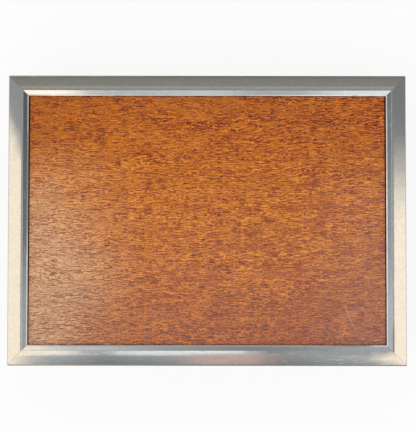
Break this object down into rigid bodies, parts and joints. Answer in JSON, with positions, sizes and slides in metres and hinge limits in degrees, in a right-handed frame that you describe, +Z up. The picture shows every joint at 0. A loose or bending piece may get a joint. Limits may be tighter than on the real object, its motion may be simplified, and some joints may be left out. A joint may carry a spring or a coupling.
{
  "type": "playing card box",
  "caption": "Flat mahogany box with a silver moulding round its hinged panel lid, a silver foot, and lined wells for decks of cards side by side.",
  "frame": {"origin": "on the table, under the middle of the box", "axes": "+X to the right along the front, +Y from the front to the hinge at the back, +Z up"},
  "size_m": [0.152, 0.1106, 0.0389],
  "materials": {
    "silver": "polished silver with fine lengthwise scratches",
    "mahogany_panel": "polished mahogany, fine grain along the box",
    "mahogany": "polished mahogany",
    "lining_wood": "oiled cedar",
    "felt": "short napped baize",
    "hinge_brass": "drawn brass, slightly tarnished"
  },
  "bodies": {
    "case": {"foot_front_moulding": "silver", "foot_right_moulding": "silver", "foot_back_moulding": "silver", "foot_left_moulding": "silver", "foot_pins": "silver", "case_front_wall": "mahogany", "case_right_wall": "mahogany", "case_back_wall": "mahogany", "case_left_wall": "mahogany", "base_board": "mahogany", "case_front_lining": "lining_wood", "case_right_lining": "lining_wood", "case_back_lining": "lining_wood", "case_left_lining": "lining_wood", "well_divider": "lining_wood", "left_well_pad": "felt", "right_well_pad": "felt", "hinge_case_leaf": "hinge_brass", "hinge_case_screws": "hinge_brass", "hinge_pin": "hinge_brass"},
    "lid": {"lid_front_moulding": "silver", "lid_right_moulding": "silver", "lid_back_moulding": "silver", "lid_left_moulding": "silver", "lid_pins": "silver", "lid_panel": "mahogany_panel", "lid_lining": "lining_wood", "lid_front_rail": "mahogany", "lid_right_rail": "mahogany", "lid_back_rail": "mahogany", "lid_left_rail": "mahogany", "hinge_lid_leaf": "hinge_brass", "hinge_lid_screws": "hinge_brass"}
  },
  "joints": [
    {"name": "lid_hinge", "type": "hinge", "parent": "case", "child": "lid", "pos_m": [0, 0.0521, 0.0264], "axis": [-1, 0, 0], "range_deg": [0, 95]}
  ]
}
